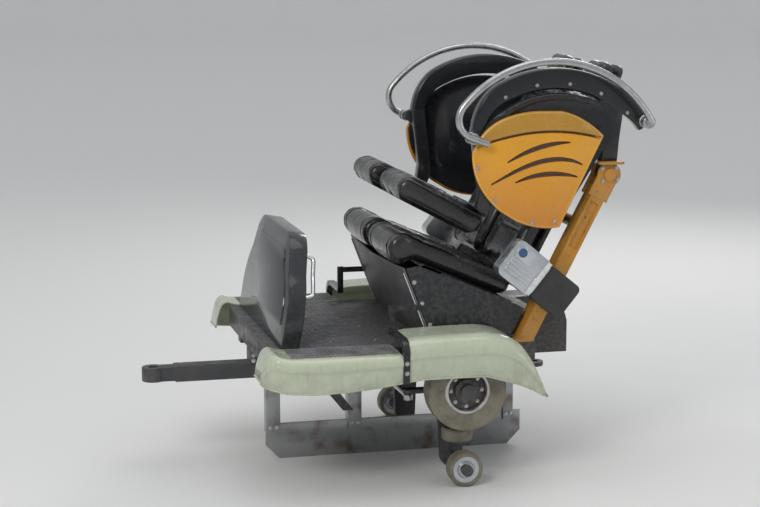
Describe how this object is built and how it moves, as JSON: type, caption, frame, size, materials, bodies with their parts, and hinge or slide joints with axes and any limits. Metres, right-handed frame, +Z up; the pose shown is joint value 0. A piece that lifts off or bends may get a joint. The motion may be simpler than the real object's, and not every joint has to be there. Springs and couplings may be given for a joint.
{
  "type": "two-seat roller coaster car",
  "caption": "Trailed roller coaster car on one axle: open side-by-side seats with pivoting over-shoulder arches and lap pads, shoulder wings, fenders, steered wheel carriers.",
  "frame": {"origin": "on the floor under the middle of the car's length and width, as it parks on its up-stop wheels and brake fin", "axes": "+X towards the front of the car, +Y towards its left side, +Z up"},
  "size_m": [2.0748, 1.4474, 1.748],
  "materials": {
    "chassis_black": "semi-gloss, grimy",
    "fender_sage": "glossy sage off-white moulding",
    "wing_yellow": "glossy amber yellow moulding",
    "post_amber": "satin amber yellow paint",
    "black_vinyl": "glossy black vinyl",
    "black_moulding": "glossy black moulding",
    "tread_grey": "ribbed dark grey tread",
    "charcoal": "charcoal moulding",
    "bulkhead_gloss": "glossy charcoal black",
    "floor_plate": "dark grey floor plate",
    "cast_aluminium": "bright cast aluminium",
    "cover_black": "textured black plastic",
    "satin_steel": "satin steel tube",
    "arm_black": "black coated arch",
    "dark_steel": "dark grey painted steel",
    "fin_steel": "worn bare steel",
    "tyre_tan": "tan-grey polyurethane tread"
  },
  "bodies": {
    "chassis": {"chassis_frame": "chassis_black", "tongue": "dark_steel", "rear_hitch": "dark_steel", "brake_fin": "fin_steel", "antirollback_dog": "dark_steel", "floor_pan": "floor_plate", "front_bulkhead": "bulkhead_gloss", "seat_base": "black_moulding", "calf_panel": "charcoal", "treads": "tread_grey", "fender_straps": "black_moulding", "seat_back_shell": "black_moulding", "cross_tube": "post_amber", "lock_housings": "cast_aluminium", "lock_covers": "cover_black", "axle_beam": "dark_steel", "front_fender_left": "fender_sage", "rear_fender_left": "fender_sage", "seat_cushion_left": "black_vinyl", "back_cushion_left": "black_vinyl", "headrest_left": "black_vinyl", "wing_left": "wing_yellow", "wing_liner_left": "black_moulding", "post_left": "post_amber", "front_fender_right": "fender_sage", "rear_fender_right": "fender_sage", "seat_cushion_right": "black_vinyl", "back_cushion_right": "black_vinyl", "headrest_right": "black_vinyl", "wing_right": "wing_yellow", "wing_liner_right": "black_moulding", "post_right": "post_amber"},
    "knuckle_left": {"knuckle_left": "dark_steel"},
    "road_wheel_left": {"road_wheel_left": "tyre_tan"},
    "guide_wheel_left": {"guide_wheel_left": "tyre_tan"},
    "upstop_wheel_left": {"upstop_wheel_left": "tyre_tan"},
    "restraint_left": {"arm_left": "arm_black", "grab_rail_left": "satin_steel", "lap_pad_left": "black_vinyl"},
    "knuckle_right": {"knuckle_right": "dark_steel"},
    "road_wheel_right": {"road_wheel_right": "tyre_tan"},
    "guide_wheel_right": {"guide_wheel_right": "tyre_tan"},
    "upstop_wheel_right": {"upstop_wheel_right": "tyre_tan"},
    "restraint_right": {"arm_right": "arm_black", "grab_rail_right": "satin_steel", "lap_pad_right": "black_vinyl"},
    "tie_rod": {"tie_rod": "satin_steel"}
  },
  "joints": [
    {"name": "steer_left", "type": "hinge", "parent": "chassis", "child": "knuckle_left", "pos_m": [-0.21061, 0.325, 0.405], "axis": [0, 0, 1], "range_deg": [-8, 8]},
    {"name": "road_spin_left", "type": "hinge", "parent": "knuckle_left", "child": "road_wheel_left", "pos_m": [-0.21061, 0.59, 0.405], "axis": [0, 1, 0], "continuous": true},
    {"name": "guide_spin_left", "type": "hinge", "parent": "knuckle_left", "child": "guide_wheel_left", "pos_m": [-0.21061, 0.48, 0.193], "axis": [0, 0, 1], "continuous": true},
    {"name": "upstop_spin_left", "type": "hinge", "parent": "knuckle_left", "child": "upstop_wheel_left", "pos_m": [-0.21061, 0.59, 0.0725], "axis": [0, 1, 0], "continuous": true},
    {"name": "restraint_pivot_left", "type": "hinge", "parent": "chassis", "child": "restraint_left", "pos_m": [-0.84661, 0.475, 1.26], "axis": [0, -1, 0], "range_deg": [0, 75]},
    {"name": "steer_right", "type": "hinge", "parent": "chassis", "child": "knuckle_right", "pos_m": [-0.21061, -0.325, 0.405], "axis": [0, 0, 1], "range_deg": [-8, 8]},
    {"name": "road_spin_right", "type": "hinge", "parent": "knuckle_right", "child": "road_wheel_right", "pos_m": [-0.21061, -0.59, 0.405], "axis": [0, 1, 0], "continuous": true},
    {"name": "guide_spin_right", "type": "hinge", "parent": "knuckle_right", "child": "guide_wheel_right", "pos_m": [-0.21061, -0.48, 0.193], "axis": [0, 0, 1], "continuous": true},
    {"name": "upstop_spin_right", "type": "hinge", "parent": "knuckle_right", "child": "upstop_wheel_right", "pos_m": [-0.21061, -0.59, 0.0725], "axis": [0, 1, 0], "continuous": true},
    {"name": "restraint_pivot_right", "type": "hinge", "parent": "chassis", "child": "restraint_right", "pos_m": [-0.84661, -0.475, 1.26], "axis": [0, -1, 0], "range_deg": [0, 75]},
    {"name": "tie_rod_pivot", "type": "hinge", "parent": "knuckle_left", "child": "tie_rod", "pos_m": [-0.04061, 0.325, 0.32], "axis": [0, 0, 1], "range_deg": [-8, 8]}
  ],
  "couplings": [
    {"joint": "steer_right", "follows": "steer_left", "ratio": 1},
    {"joint": "tie_rod_pivot", "follows": "steer_left", "ratio": -1}
  ]
}
